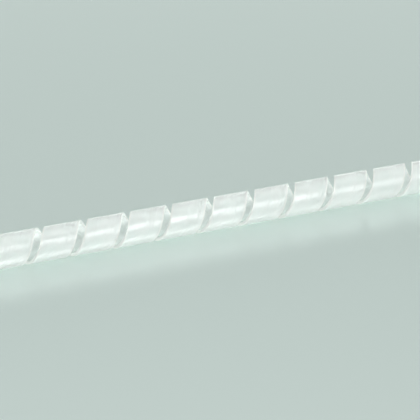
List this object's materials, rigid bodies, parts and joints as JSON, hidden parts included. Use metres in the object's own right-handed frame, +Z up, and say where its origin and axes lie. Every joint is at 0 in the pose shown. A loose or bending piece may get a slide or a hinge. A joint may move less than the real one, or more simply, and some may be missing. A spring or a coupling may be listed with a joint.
{
  "type": "spiral cable wrap",
  "caption": "Straight length of translucent plastic tube, slit along a left-hand helix, that winds around a bundle of cables.",
  "frame": {"origin": "under the middle of the wrap's length, on the surface that it lies on", "axes": "+X along the wrap, +Y across it and +Z up; the strip is a left-hand helix about the line Y = 0, Z = 0.005"},
  "size_m": [1, 0.01, 0.01],
  "materials": {
    "natural_polyethylene": "uncoloured polyethylene, milky and translucent, satin, with fine extrusion lines and bright cut edges"
  },
  "bodies": {
    "root": {"spiral_wrap": "natural_polyethylene"}
  },
  "joints": []
}
